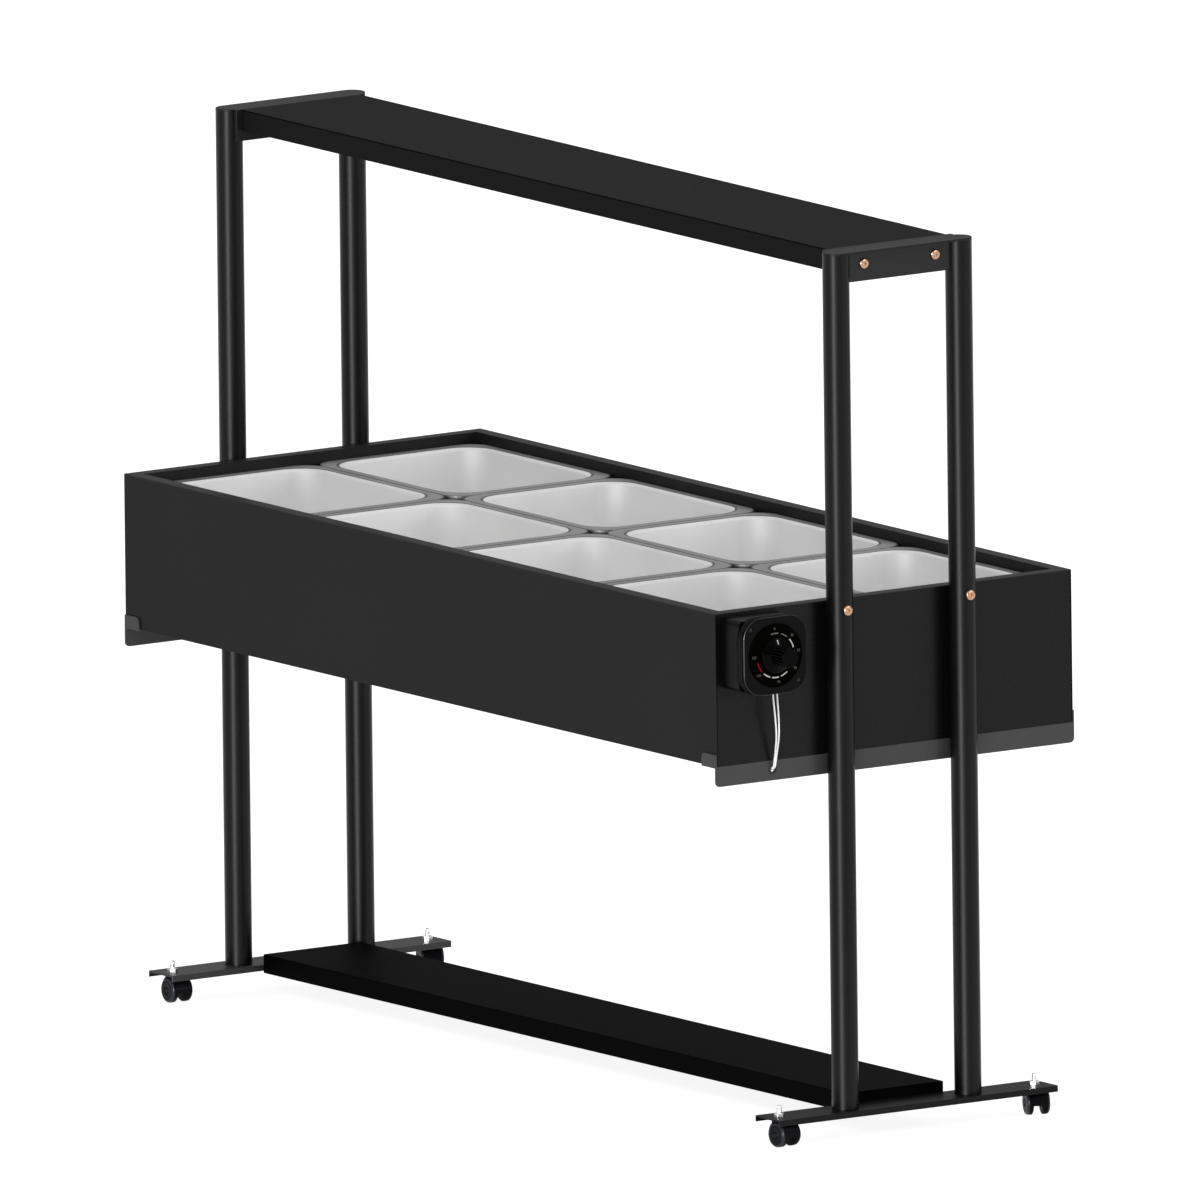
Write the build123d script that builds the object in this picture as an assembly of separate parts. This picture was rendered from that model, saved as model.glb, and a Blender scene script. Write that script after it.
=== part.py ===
from build123d import *
import math
import os

os.makedirs("parts", exist_ok=True)

# Mobile heated buffet, in millimetres. Z is up, the front long side faces -Y and the thermostat is at +X.
# The floor is z = 0 and the origin is under the middle of the whole object's box.

# Trough
trough_length = 1462.0
trough_depth = 600.0
trough_height = 216.0
trough_top = 756.5
panel_sheet = 2.0
floor_sheet = 1.5
floor_flange = 15.0
rim_width = 20.0
rim_sheet = 1.5
ledge_width = 12.0

# Pans
pan_columns = 4
pan_rows = 2
pan_gap = 1.5
pan_sheet = 1.0
pan_rim_drop = 15.0
pan_rim_end = 22.5
pan_rim_side = 19.0
pan_lip = 4.0
pan_outer_radius = 32.0
pan_mouth_radius = 42.0
pan_mouth_roll = 5.0
pan_depth = 100.0
pan_floor_radius = 14.0
pan_taper = 3.0
pan_seat_gap = 0.3

# Pan rails
rail_width = 12.0
rail_height = 20.0
rail_joint_gap = 0.2

# Well, heating and insulation
well_sheet = 1.0
well_depth = 175.0
well_flange = 8.0
element_diameter = 8.0
element_bend = 40.0
element_height = 14.0
element_end_gap = 79.0
element_side_gap = 78.0
element_tail_y = 35.0
element_tail_length = 14.0
saddle_length = 24.0
saddle_width = 12.0
saddle_gap = 0.2
bulb_diameter = 7.0
bulb_length = 90.0
bulb_start = 20.0
capillary_diameter = 2.0
capillary_bend = 10.0
insulation_gap = 0.3
insulation_height = 170.0
insulation_end_gap = 9.0

# Posts and base
post_diameter = 38.0
post_wall = 2.0
post_spacing = 206.6
post_plug_length = 26.0
post_panel_gap = 0.3
base_bar_top = 40.5
base_bar_width = 60.0
base_bar_length = 471.5
base_bar_flange = 8.5
base_bar_sheet = 2.0
base_bar_corner = 3.0
foot_screw_diameter = 8.0
foot_screw_length = 20.0
foot_screw_head_diameter = 13.0
foot_screw_head_height = 4.0
weld_gap = 0.1

# Upper end frames and shelves
shelf_top = 1250.5
cap_thickness = 3.0
cap_spigot = 12.0
cap_spigot_gap = 0.1
crossbar_height = 41.6
crossbar_wall = 2.0
crossbar_overhang = 5.0
shelf_bar_thickness = 7.0
shelf_bar_reach = 5.0
top_shelf_depth = 200.0
lower_shelf_depth = 164.0
shelf_sheet = 1.5
top_shelf_lip = 30.0
lower_shelf_lip = 26.5
lower_shelf_rise = 15.0
shelf_end_gap = 0.2

# Screws with brass heads, and their nuts
brass_shank_diameter = 6.0
brass_shank_length = 50.0
brass_head_diameter = 15.0
brass_head_height = 4.0
brass_recess_diameter = 4.5
brass_recess_depth = 2.0
brass_nut_flats = 10.0
brass_nut_height = 5.0
screw_hole_gap = 0.3
crossbar_screw_spacing = 120.0
crossbar_screw_drop = 20.0
trough_screw_drop = 10.0

# Brackets under the trough
bracket_sheet = 2.0
bracket_leg = 35.0
bracket_flange = 28.5
bracket_flange_corner = 7.0
bracket_tab = 17.0
bracket_tab_corner = 8.0

# Thermostat
box_width = 100.0
box_height = 100.0
box_depth = 43.0
box_corner = 8.0
box_sheet = 1.5
thermostat_inset = 60.0
thermostat_drop = 56.0
cover_width = 106.0
cover_height = 110.0
cover_depth = 17.0
cover_wall = 3.0
cover_corner = 30.0
cover_edge = 1.5
cover_screw_diameter = 4.0
cover_screw_head = 7.0
cover_screw_head_height = 2.5
cover_screw_length = 18.0
cover_screw_y = 40.0
cover_screw_z = 39.0
cover_screw_sink = 1.0
dial_diameter = 90.0
dial_thickness = 1.2
dial_recess = 0.6
switch_diameter = 32.0
switch_length = 34.0
switch_plate_width = 46.0
switch_plate_height = 30.0
switch_plate_sheet = 1.5
spindle_diameter = 6.0
spindle_gap = 0.05
spindle_insert = 14.0
knob_skirt_diameter = 50.0
knob_skirt_height = 3.0
knob_cone_height = 5.0
knob_barrel_diameter = 27.0
knob_height = 35.5
knob_rib_depth = 0.6
knob_ribs = 18
knob_gap = 0.5
knob_socket = 20.0
terminal_length = 30.0
terminal_width = 14.0
terminal_height = 16.0

# White leads and grommets
lead_diameter = 2.3
lead_bend_share = 0.45
lead_exit_x = 20.0
front_lead_offset = 21.6
rear_lead_offset = 28.3
lead_pair_gap = 0.3
lead_end_gap = 0.1
grommet_diameter = 13.0
grommet_bore = 8.4
grommet_groove = 10.2
grommet_lip = 1.5
wire_hole_offset = 34.1
wire_hole_drop = 12.5
wire_entry_inset = 17.0

# Casters
wheel_diameter = 35.0
wheel_width = 9.0
wheel_spacing = 15.0
wheel_shoulder = 3.0
wheel_face_radius = 12.5
wheel_groove = 0.6
axle_diameter = 4.0
axle_gap = 0.05
hood_gap = 0.6
hood_sheet = 1.4
hood_width = 26.0
hood_core = 13.8
hood_skirt_drop = 3.0
caster_trail = 11.0
front_left_turn = 3.0
front_right_turn = -6.0
rear_left_turn = 18.0
rear_right_turn = 20.0
shoulder_reach = 7.0
shoulder_width = 16.0
caster_inset = 21.0
stem_diameter = 7.0
stem_depth = 17.0
stem_gap = 0.05
stem_collar_diameter = 13.0
stem_collar_height = 1.2
stem_bearing_gap = 0.3
stem_boss_diameter = 13.0
stem_neck_diameter = 11.0
stud_diameter = 6.5
stud_length = 16.0
caster_nut_flats = 13.0
caster_nut_height = 5.0

# Sizes that follow from those above
half_length = trough_length / 2
half_depth = trough_depth / 2
trough_bottom = trough_top - trough_height
mouth_x = half_length - rim_width
mouth_y = half_depth - rim_width
inner_x = half_length - panel_sheet
inner_y = half_depth - panel_sheet
pan_pitch_x = 2 * mouth_x / pan_columns
pan_pitch_y = 2 * mouth_y / pan_rows
pan_length = pan_pitch_x - pan_gap
pan_width = pan_pitch_y - pan_gap
pan_rim_top = trough_top - pan_rim_drop
ledge_top = pan_rim_top - pan_lip - pan_seat_gap
well_x = mouth_x - ledge_width
well_y = mouth_y - ledge_width
well_top = ledge_top - rim_sheet
well_floor = well_top - well_depth
element_z = well_floor + element_height + element_diameter / 2
element_reach_x = well_x - element_end_gap
element_reach_y = well_y - element_side_gap
post_radius = post_diameter / 2
post_x = half_length + post_panel_gap + post_radius
post_y = post_spacing / 2
post_top = shelf_top - cap_thickness
shelf_bar_outer = post_x - post_radius - weld_gap
shelf_bar_inner = shelf_bar_outer - shelf_bar_thickness
crossbar_bottom = post_top - crossbar_height
crossbar_face = post_x + crossbar_overhang
base_bar_inner = post_x - base_bar_width / 2
base_bar_outer = post_x + base_bar_width / 2
caster_y = base_bar_length / 2 - caster_inset
web_bottom = base_bar_top - base_bar_sheet
trough_screw_z = trough_top - trough_screw_drop
crossbar_screw_z = shelf_top - crossbar_screw_drop
thermostat_y = thermostat_inset - half_depth
thermostat_z = trough_top - thermostat_drop
box_front = half_length + box_depth
cover_front = box_front + cover_depth
dial_front = cover_front - dial_recess + dial_thickness
knob_back = dial_front + knob_gap
knob_tip = knob_back + knob_height
wheel_radius = wheel_diameter / 2
front_lead_y = thermostat_y + front_lead_offset
rear_lead_y = thermostat_y + rear_lead_offset
wire_hole_y = thermostat_y + wire_hole_offset
wire_hole_z = trough_bottom - wire_hole_drop
wire_entry_x = half_length - wire_entry_inset
trough_centre_x = (base_bar_outer - knob_tip) / 2


def save(name, *solids):
    """Moves the solids from the trough's middle to the object's and writes them as one node."""
    shape = solids[0] if len(solids) == 1 else Compound(children=list(solids))
    shape = Pos(trough_centre_x, 0, 0) * shape
    shape.label = name
    export_step(shape, f"parts/{name}.step")


def block(x0, x1, y0, y1, z0, z1):
    return Pos((x0 + x1) / 2, (y0 + y1) / 2, (z0 + z1) / 2) * Box(x1 - x0, y1 - y0, z1 - z0)


def rod_x(x0, x1, y, z, diameter):
    return Pos((x0 + x1) / 2, y, z) * Rot(0, 90, 0) * Cylinder(diameter / 2, x1 - x0)


def rod_y(x, y0, y1, z, diameter):
    return Pos(x, (y0 + y1) / 2, z) * Rot(90, 0, 0) * Cylinder(diameter / 2, y1 - y0)


def rod_z(x, y, z0, z1, diameter):
    return Pos(x, y, (z0 + z1) / 2) * Cylinder(diameter / 2, z1 - z0)


def plate_x(x0, x1, y, z, sketch):
    """Extrudes a sketch along +X from x0 to x1; the sketch's own x is Y and its y is Z."""
    face = Plane(origin=(x0, y, z), x_dir=(0, 1, 0), z_dir=(1, 0, 0)) * sketch
    return extrude(face, amount=x1 - x0, dir=(1, 0, 0))


def mirrored(solid, side):
    """A piece drawn for the right end, or its mirror image for the left end."""
    return solid if side > 0 else mirror(solid, Plane.YZ)


def corner_radii(points, share):
    """One radius for each inner point: the given share of its shorter run, over the half turn's tangent."""
    radii = []
    for before, here, after in zip(points, points[1:], points[2:]):
        run_in = Vector(here) - Vector(before)
        run_out = Vector(after) - Vector(here)
        half_turn = math.radians(run_in.get_angle(run_out) / 2)
        radii.append(share * min(run_in.length, run_out.length) / math.tan(half_turn))
    return radii


def tube(points, radii, diameter):
    path = FilletPolyline(*points, radius=radii)
    start = Plane(origin=path @ 0, z_dir=path % 0)
    solid = sweep(start * Circle(diameter / 2), path=path)
    return solid, path.length


# Trough casing

def long_panel(y0, y1):
    return block(-half_length, half_length, y0, y1, trough_bottom, trough_top - rim_sheet)


def end_panel():
    panel = block(inner_x, half_length, -inner_y, inner_y, trough_bottom, trough_top - rim_sheet)
    for y in (-post_y, post_y):
        hole = brass_shank_diameter + 2 * screw_hole_gap
        panel -= rod_x(inner_x - 1, half_length + 1, y, trough_screw_z, hole)
    return panel


def right_end_panel():
    hole = rod_x(inner_x - 1, half_length + 1, thermostat_y, thermostat_z, 4 * capillary_diameter)
    return end_panel() - hole


def bottom_panel():
    top = trough_bottom + floor_flange
    tray = block(-inner_x, inner_x, -inner_y, inner_y, trough_bottom, top)
    hollow_x = inner_x - floor_sheet
    hollow_y = inner_y - floor_sheet
    tray -= block(-hollow_x, hollow_x, -hollow_y, hollow_y, trough_bottom + floor_sheet, top + 1)
    return tray - rod_z(wire_entry_x, wire_hole_y, trough_bottom - 1, trough_bottom + 3, grommet_groove)


def frame_ring(outer_x, outer_y, inner_half_x, inner_half_y, z0, z1):
    outer = block(-outer_x, outer_x, -outer_y, outer_y, z0, z1)
    return outer - block(-inner_half_x, inner_half_x, -inner_half_y, inner_half_y, z0 - 1, z1 + 1)


def top_rim():
    face = frame_ring(half_length, half_depth, mouth_x, mouth_y, trough_top - rim_sheet, trough_top)
    wall_x = mouth_x + rim_sheet
    wall_y = mouth_y + rim_sheet
    wall = frame_ring(wall_x, wall_y, mouth_x, mouth_y, ledge_top - rim_sheet, trough_top - rim_sheet)
    ledge = frame_ring(wall_x, wall_y, well_x, well_y, ledge_top - rim_sheet, ledge_top)
    return face + wall + ledge


def well_liner():
    outer_x = well_x + well_sheet
    outer_y = well_y + well_sheet
    shell = block(-outer_x, outer_x, -outer_y, outer_y, well_floor - well_sheet, well_top)
    shell -= block(-well_x, well_x, -well_y, well_y, well_floor, well_top + 1)
    flange_x = outer_x + well_flange
    flange_y = outer_y + well_flange
    shell += frame_ring(flange_x, flange_y, well_x, well_y, well_top - well_sheet, well_top)
    for y in (-element_tail_y, element_tail_y):
        shell -= rod_x(well_x - 1, outer_x + 1, y, element_z, element_diameter + 2 * screw_hole_gap)
    bulb_z = well_floor + element_height + bulb_diameter / 2
    hole = capillary_diameter + 2 * screw_hole_gap
    return shell - rod_x(well_x - 1, outer_x + 1, thermostat_y, bulb_z, hole)


def insulation_blanket():
    half_x = well_x - insulation_end_gap
    outer_y = inner_y - floor_sheet - insulation_gap
    floor_z = trough_bottom + floor_sheet + insulation_gap
    top_z = floor_z + insulation_height
    blanket = block(-half_x, half_x, -outer_y, outer_y, floor_z, top_z)
    hollow_y = well_y + well_sheet + insulation_gap
    hollow_z = well_floor - well_sheet - insulation_gap
    return blanket - block(-half_x - 1, half_x + 1, -hollow_y, hollow_y, hollow_z, top_z + 1)


# Pans and the rails under their rims

def rail_x_positions():
    return [(column - pan_columns / 2) * pan_pitch_x for column in range(1, pan_columns)]


def rail_y_positions():
    return [(row - pan_rows / 2) * pan_pitch_y for row in range(1, pan_rows)]


def rail_slot(x, y, z0, z1):
    half = rail_width / 2 + rail_joint_gap
    return block(x - half, x + half, y - half, y + half, z0, z1)


def pan_long_rails():
    half = rail_width / 2
    middle = ledge_top - rail_height / 2
    rails = []
    for y in rail_y_positions():
        rail = block(-well_x, well_x, y - half, y + half, ledge_top - rail_height, ledge_top)
        for x in rail_x_positions():
            rail -= rail_slot(x, y, ledge_top - rail_height - 1, middle)
        rails.append(rail)
    return rails


def pan_cross_rails():
    half = rail_width / 2
    middle = ledge_top - rail_height / 2
    rails = []
    for x in rail_x_positions():
        rail = block(x - half, x + half, -well_y, well_y, ledge_top - rail_height, ledge_top)
        for y in rail_y_positions():
            rail -= rail_slot(x, y, middle - rail_joint_gap, ledge_top + 1)
        rails.append(rail)
    return rails


def rounded(length, width, radius):
    return RectangleRounded(length, width, radius)


def pan():
    """One pan about its own middle, with its rim's top face at z = 0."""
    mouth_length = pan_length - 2 * pan_rim_end
    mouth_width = pan_width - 2 * pan_rim_side
    rim = extrude(rounded(pan_length, pan_width, pan_outer_radius), amount=-pan_sheet)
    lip = rounded(pan_length, pan_width, pan_outer_radius)
    lip -= rounded(pan_length - 2 * pan_sheet, pan_width - 2 * pan_sheet, pan_outer_radius - pan_sheet)
    outer_radius = pan_mouth_radius + pan_sheet
    outer = rounded(mouth_length + 2 * pan_sheet, mouth_width + 2 * pan_sheet, outer_radius)
    body = extrude(outer, amount=-pan_depth, taper=pan_taper)
    body = fillet(body.faces().sort_by(Axis.Z)[0].edges(), pan_floor_radius + pan_sheet)
    cavity = extrude(rounded(mouth_length, mouth_width, pan_mouth_radius), amount=-pan_depth + pan_sheet,
                     taper=pan_taper)
    cavity = fillet(cavity.faces().sort_by(Axis.Z)[0].edges(), pan_floor_radius)
    shell = rim + body
    under = shell.edges().filter_by(lambda edge: abs(edge.center().Z + pan_sheet) < 0.01)
    inner = [edge for edge in under if abs(edge.center().X) < mouth_length / 2 + 2 * pan_sheet
             and abs(edge.center().Y) < mouth_width / 2 + 2 * pan_sheet]
    shell = fillet(inner, pan_mouth_roll - pan_sheet)
    shell -= cavity
    top = shell.faces().sort_by(Axis.Z)[-1]
    shell = fillet(top.inner_wires().edges(), pan_mouth_roll)
    return shell + extrude(lip, amount=-pan_lip)


def pan_place(column, row):
    x = (column - (pan_columns - 1) / 2) * pan_pitch_x
    y = (row - (pan_rows - 1) / 2) * pan_pitch_y
    return Pos(x, y, pan_rim_top)


# Heating

def heating_element():
    """A tube that goes once round the well, with both tails through the well's right end wall."""
    tail = well_x + well_sheet + element_tail_length
    turn = well_x - element_bend * 2
    far_x = -element_reach_x
    points = [(tail, -element_tail_y, element_z), (turn, -element_tail_y, element_z),
              (turn, -element_reach_y, element_z), (far_x, -element_reach_y, element_z),
              (far_x, element_reach_y, element_z), (turn, element_reach_y, element_z),
              (turn, element_tail_y, element_z), (tail, element_tail_y, element_z)]
    bends = [element_tail_y * 0.8] + [element_bend] * 4 + [element_tail_y * 0.8]
    solid, length = tube(points, bends, element_diameter)
    return solid


def saddle(x, y, tube_diameter):
    top = well_floor + element_height + tube_diameter / 2
    base = block(x - saddle_length / 2, x + saddle_length / 2, y - saddle_width / 2, y + saddle_width / 2,
                 well_floor, top)
    return base


def element_supports():
    groove = element_diameter + 2 * saddle_gap
    saddles = []
    for x in (-element_reach_x * 0.6, 0, element_reach_x * 0.6):
        for y in (-element_reach_y, element_reach_y):
            seat = saddle(x, y, element_diameter)
            saddles.append(seat - rod_x(x - saddle_length, x + saddle_length, y, element_z, groove))
    bulb_z = well_floor + element_height + bulb_diameter / 2
    for share in (0.2, 0.8):
        x = well_x - bulb_start - share * bulb_length
        seat = saddle(x, thermostat_y, bulb_diameter)
        cut = rod_x(x - saddle_length, x + saddle_length, thermostat_y, bulb_z, bulb_diameter + 2 * saddle_gap)
        saddles.append(seat - cut)
    return saddles


def sensor_probe():
    bulb_z = well_floor + element_height + bulb_diameter / 2
    bulb_end = well_x - bulb_start
    bulb = rod_x(bulb_end - bulb_length, bulb_end, thermostat_y, bulb_z, bulb_diameter)
    bulb = fillet(bulb.edges(), bulb_diameter / 4)
    riser_x = (well_x + well_sheet + inner_x) / 2
    switch_back = cover_front - cover_wall - switch_plate_sheet - switch_length
    points = [(switch_back, thermostat_y, thermostat_z), (riser_x, thermostat_y, thermostat_z),
              (riser_x, thermostat_y, bulb_z), (bulb_end - 2, thermostat_y, bulb_z)]
    line, length = tube(points, [capillary_bend, capillary_bend], capillary_diameter)
    return bulb + line


# Posts, base bars and upper frames

def post(side, front):
    x = side * post_x
    y = front * post_y
    solid = rod_z(x, y, base_bar_top, post_top, post_diameter)
    solid -= rod_z(x, y, base_bar_top + post_plug_length, post_top + 1, post_diameter - 2 * post_wall)
    screw_hole = foot_screw_diameter + 2 * screw_hole_gap
    solid -= rod_z(x, y, base_bar_top - 1, base_bar_top + foot_screw_length, screw_hole)
    hole = brass_shank_diameter + 2 * screw_hole_gap
    return solid - rod_x(x - post_radius - 1, x + post_radius + 1, y, trough_screw_z, hole)


def base_bar(side):
    bottom = base_bar_top - base_bar_flange
    bar = block(base_bar_inner, base_bar_outer, -base_bar_length / 2, base_bar_length / 2, bottom, base_bar_top)
    bar = fillet(bar.edges().filter_by(Axis.Z), base_bar_corner)
    bar -= block(base_bar_inner + base_bar_sheet, base_bar_outer - base_bar_sheet,
                 -base_bar_length, base_bar_length, bottom - 1, web_bottom)
    for y in (-post_y, post_y):
        bar -= rod_z(post_x, y, bottom, base_bar_top + 1, foot_screw_diameter + 2 * screw_hole_gap)
    for y in (-caster_y, caster_y):
        bar -= rod_z(post_x, y, bottom, base_bar_top + 1, stud_diameter + 2 * screw_hole_gap)
    return mirrored(bar, side)


def foot_screw(side, front):
    x = side * post_x
    y = front * post_y
    head = rod_z(x, y, web_bottom - foot_screw_head_height, web_bottom, foot_screw_head_diameter)
    head -= Pos(x, y, web_bottom - foot_screw_head_height) * extrude(RegularPolygon(3.2, 6), amount=2.2)
    shank = rod_z(x, y, web_bottom, base_bar_top + foot_screw_length - 2, foot_screw_diameter)
    return head + shank


def end_cap(side):
    outline = Rot(0, 0, 90) * SlotOverall(post_spacing + post_diameter, post_diameter)
    cap = extrude(Pos(post_x, 0, post_top) * outline, amount=cap_thickness)
    cap = fillet(cap.faces().sort_by(Axis.Z)[-1].edges(), cap_thickness / 3)
    spigot = post_diameter - 2 * post_wall - 2 * cap_spigot_gap
    for y in (-post_y, post_y):
        cap += rod_z(post_x, y, post_top - cap_spigot, post_top, spigot)
    return mirrored(cap, side)


def crossbar(side):
    inner_face = shelf_bar_outer
    bar = block(inner_face, crossbar_face, -post_y, post_y, crossbar_bottom, post_top)
    bar -= block(inner_face + crossbar_wall, crossbar_face - crossbar_wall, -post_y, post_y,
                 crossbar_bottom + crossbar_wall, post_top - crossbar_wall)
    for y in (-post_y, post_y):
        bar -= rod_z(post_x, y, crossbar_bottom - 1, post_top + 1, post_diameter + 2 * weld_gap)
    for y in crossbar_screw_ys():
        hole = brass_shank_diameter + 2 * screw_hole_gap
        bar -= rod_x(inner_face - 1, crossbar_face + 1, y, crossbar_screw_z, hole)
    return mirrored(bar, side)


def crossbar_screw_ys():
    return (-crossbar_screw_spacing / 2, crossbar_screw_spacing / 2)


def shelf_bar(side):
    reach = post_y + shelf_bar_reach
    bar = block(shelf_bar_inner, shelf_bar_outer, -reach, reach, crossbar_bottom, shelf_top)
    bar = fillet(bar.edges().filter_by(Axis.Z), 1.0)
    for y in crossbar_screw_ys():
        hole = brass_shank_diameter + 2 * screw_hole_gap
        bar -= rod_x(shelf_bar_inner - 1, shelf_bar_outer + 1, y, crossbar_screw_z, hole)
    return mirrored(bar, side)


def shelf_pieces(half_x, depth, top, lip):
    """A shelf's plate and the four lips welded under it: front, rear, left and right."""
    half_y = depth / 2
    plate = block(-half_x, half_x, -half_y, half_y, top - shelf_sheet, top)
    plate = fillet(plate.faces().sort_by(Axis.Z)[-1].edges().filter_by(Axis.X), shelf_sheet * 0.8)
    low = top - lip
    high = top - shelf_sheet - weld_gap
    lips = []
    for front in (-1, 1):
        y0, y1 = sorted((front * half_y, front * (half_y - shelf_sheet)))
        lips.append(block(-half_x, half_x, y0, y1, low, high))
    end_y = half_y - shelf_sheet - weld_gap
    for side in (-1, 1):
        x0, x1 = sorted((side * half_x, side * (half_x - shelf_sheet)))
        lips.append(block(x0, x1, -end_y, end_y, low, high))
    return plate, lips


def top_shelf():
    half_x = shelf_bar_inner - shelf_end_gap
    plate, lips = shelf_pieces(half_x, top_shelf_depth, shelf_top, top_shelf_lip)
    hole = brass_shank_diameter + 2 * screw_hole_gap
    drilled = []
    for lip, side in zip(lips[2:], (-1, 1)):
        for y in crossbar_screw_ys():
            x = side * half_x
            lip -= rod_x(x - 2 * shelf_sheet, x + 2 * shelf_sheet, y, crossbar_screw_z, hole)
        drilled.append(lip)
    return [plate, *lips[:2], *drilled]


def lower_shelf():
    half_x = base_bar_inner - shelf_end_gap
    top = base_bar_top + lower_shelf_rise
    plate, lips = shelf_pieces(half_x, lower_shelf_depth, top, lower_shelf_lip)
    return [plate, *lips]


# Fasteners with brass heads

def brass_screw(head_seat, y, z, side):
    """A pan-head screw along X, with its head outside head_seat."""
    head = Pos(head_seat, y, z) * Rot(0, 90, 0) * extrude(Circle(brass_head_diameter / 2),
                                                         amount=brass_head_height)
    head = fillet(head.edges().sort_by(Axis.X)[-1], brass_head_height * 0.6)
    tip = head_seat + brass_head_height
    arm = brass_recess_diameter
    for width, height in ((arm, arm / 4), (arm / 4, arm)):
        head -= block(tip - brass_recess_depth, tip + 1, y - width / 2, y + width / 2,
                      z - height / 2, z + height / 2)
    shank = rod_x(head_seat - brass_shank_length, head_seat, y, z, brass_shank_diameter)
    return mirrored(head + shank, side)


def brass_nut(outer_face, y, z, side):
    """A hexagon nut along X, whose outer side touches the sheet at outer_face."""
    outline = Rot(0, 0, 30) * RegularPolygon(brass_nut_flats / 2, 6, major_radius=False)
    nut = plate_x(outer_face - brass_nut_height, outer_face, y, z, outline)
    nut -= rod_x(outer_face - brass_nut_height - 1, outer_face + 1, y, z,
                 brass_shank_diameter + 0.1)
    return mirrored(nut, side)


def screw_places():
    """Head seat, nut seat, y and z of every screw at the right end."""
    places = []
    for y in (-post_y, post_y):
        places.append((post_x + post_radius, inner_x, y, trough_screw_z))
    for y in crossbar_screw_ys():
        shelf_face = shelf_bar_inner - shelf_end_gap - shelf_sheet
        places.append((crossbar_face, shelf_face, y, crossbar_screw_z))
    return places


# Brackets under the trough's ends

def bracket(side):
    outer_y = half_depth + bracket_sheet
    inner_edge = half_length - bracket_leg
    leg_bottom = trough_bottom - bracket_sheet
    leg = block(inner_edge, half_length, -outer_y, outer_y, leg_bottom, trough_bottom)
    flange = block(half_length - bracket_sheet, half_length, -outer_y, outer_y,
                   trough_bottom - bracket_flange, trough_bottom)
    lower = flange.edges().filter_by(Axis.X).sort_by(Axis.Z)[:2]
    flange = fillet(lower, bracket_flange_corner)
    solid = leg + flange
    for y0 in (-outer_y, half_depth):
        tab = block(inner_edge, half_length, y0, y0 + bracket_sheet, leg_bottom, trough_bottom + bracket_tab)
        corner = tab.edges().filter_by(Axis.Y).sort_by(Axis.Z)[-2:].sort_by(Axis.X)[0]
        solid += fillet(corner, bracket_tab_corner)
    if side > 0:
        solid -= rod_x(half_length - bracket_sheet - 1, half_length + 1, wire_hole_y, wire_hole_z, grommet_groove)
        solid -= rod_z(wire_entry_x, wire_hole_y, leg_bottom - 1, trough_bottom + 1, grommet_groove)
    return mirrored(solid, side)


def grommet(grip):
    """A rubber ring about Z, centred on the sheet of thickness grip that sits in its groove."""
    ring = Cylinder(grommet_diameter / 2, grip + 2 * grommet_lip)
    ring = fillet(ring.edges(), grommet_lip / 3)
    groove = Cylinder(grommet_diameter, grip) - Cylinder(grommet_groove / 2, grip)
    return ring - groove - Cylinder(grommet_bore / 2, grip + 4 * grommet_lip)


def lead_grommets():
    flange_middle = half_length - bracket_sheet / 2
    entry_grip = bracket_sheet + floor_sheet
    entry_middle = trough_bottom + floor_sheet - entry_grip / 2
    return [Pos(flange_middle, wire_hole_y, wire_hole_z) * Rot(0, 90, 0) * grommet(bracket_sheet),
            Pos(wire_entry_x, wire_hole_y, entry_middle) * grommet(entry_grip)]


# Thermostat at the front corner of the right end

def thermostat_box():
    outline = RectangleRounded(box_width, box_height, box_corner)
    inside = RectangleRounded(box_width - 2 * box_sheet, box_height - 2 * box_sheet, box_corner - box_sheet)
    box = plate_x(half_length, box_front, thermostat_y, thermostat_z, outline)
    box -= plate_x(half_length + box_sheet, box_front + 1, thermostat_y, thermostat_z, inside)
    box -= rod_x(half_length - 1, half_length + box_sheet + 1, thermostat_y, thermostat_z,
                 4 * capillary_diameter)
    for x, y in lead_exits():
        bottom = thermostat_z - box_height / 2
        box -= rod_z(x, y, bottom - 1, bottom + 2 * box_sheet, lead_diameter + 2 * screw_hole_gap)
    return box


def cover_screw_places():
    return ((thermostat_y - cover_screw_y, thermostat_z + cover_screw_z),
            (thermostat_y + cover_screw_y, thermostat_z - cover_screw_z))


def thermostat_cover():
    outline = RectangleRounded(cover_width, cover_height, cover_corner)
    inside = RectangleRounded(cover_width - 2 * cover_wall, cover_height - 2 * cover_wall,
                              cover_corner - cover_wall)
    cover = plate_x(box_front, cover_front, thermostat_y, thermostat_z, outline)
    cover = fillet(cover.faces().sort_by(Axis.X)[-1].edges(), cover_edge)
    cover -= plate_x(box_front - 1, cover_front - cover_wall, thermostat_y, thermostat_z, inside)
    for y, z in cover_screw_places():
        cover += rod_x(box_front, cover_front - cover_wall, y, z, cover_screw_head + 2 * cover_wall)
        head = cover_screw_head + 2 * screw_hole_gap
        cover -= rod_x(cover_front - cover_screw_sink - cover_screw_head_height, cover_front + 1, y, z, head)
        cover -= rod_x(box_front - 1, cover_front, y, z, cover_screw_diameter + 2 * screw_hole_gap)
    cover -= rod_x(cover_front - dial_recess, cover_front + 1, thermostat_y, thermostat_z,
                   dial_diameter + 2 * screw_hole_gap)
    return cover - spindle_hole(cover_front - cover_wall - 1, cover_front + 1)


def spindle_hole(x0, x1):
    return rod_x(x0, x1, thermostat_y, thermostat_z, spindle_diameter + 2 * screw_hole_gap)


def dial_plate():
    back = cover_front - dial_recess
    return rod_x(back, dial_front, thermostat_y, thermostat_z, dial_diameter) - spindle_hole(back - 1, dial_front + 1)


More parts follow.
